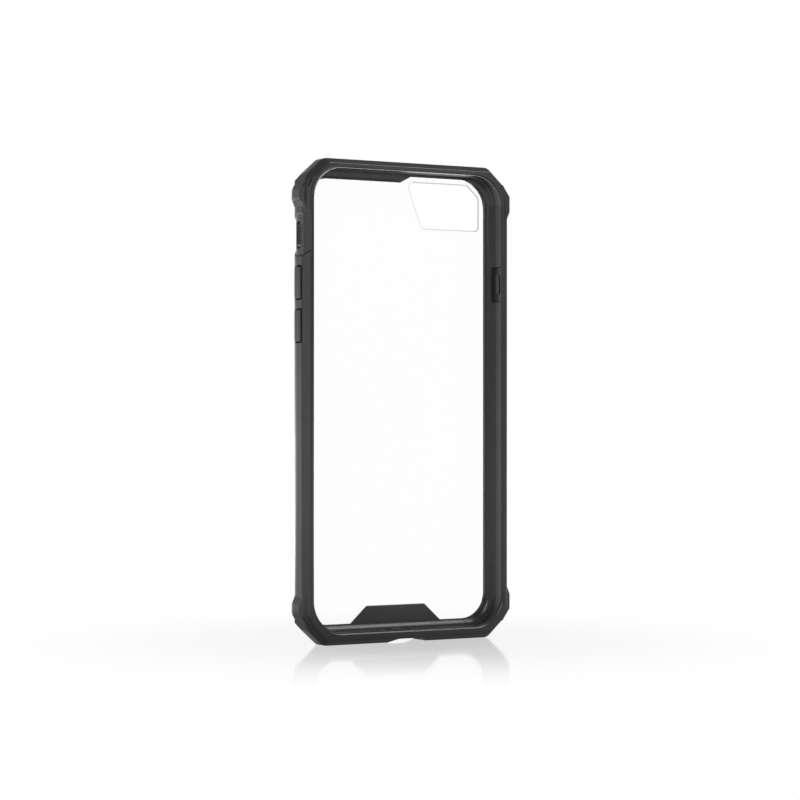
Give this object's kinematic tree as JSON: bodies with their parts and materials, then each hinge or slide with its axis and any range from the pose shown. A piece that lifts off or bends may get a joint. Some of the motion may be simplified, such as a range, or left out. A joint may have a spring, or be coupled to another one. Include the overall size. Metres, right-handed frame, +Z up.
{
  "type": "phone case",
  "caption": "Slim phone case that stands on its edge: soft bumper frame with raised shock corners and a lip round the screen, clear back panel, springy side button caps.",
  "frame": {"origin": "middle of the case's outline, at the bottom edge that it stands on", "axes": "+X to the right seen from the screen side, +Y from the screen side to the back, +Z up along the phone"},
  "size_m": [0.0736, 0.0104, 0.144],
  "materials": {
    "soft_bumper": "fine satin, thermoplastic urethane",
    "clear_panel": "clear, polished polycarbonate",
    "button_cap": "fine satin, thermoplastic urethane"
  },
  "bodies": {
    "case": {"bumper": "soft_bumper", "back_panel": "clear_panel"},
    "volume_up": {"volume_up_button": "button_cap"},
    "volume_down": {"volume_down_button": "button_cap"},
    "power": {"power_button": "button_cap"}
  },
  "joints": [
    {"name": "volume_up_press", "type": "slide", "parent": "case", "child": "volume_up", "axis": [1, 0, 0], "range_m": [0, 0.0004], "stiffness_N_per_m": 2500},
    {"name": "volume_down_press", "type": "slide", "parent": "case", "child": "volume_down", "axis": [1, 0, 0], "range_m": [0, 0.0004], "stiffness_N_per_m": 2500},
    {"name": "power_press", "type": "slide", "parent": "case", "child": "power", "axis": [-1, 0, 0], "range_m": [0, 0.0004], "stiffness_N_per_m": 2500}
  ]
}
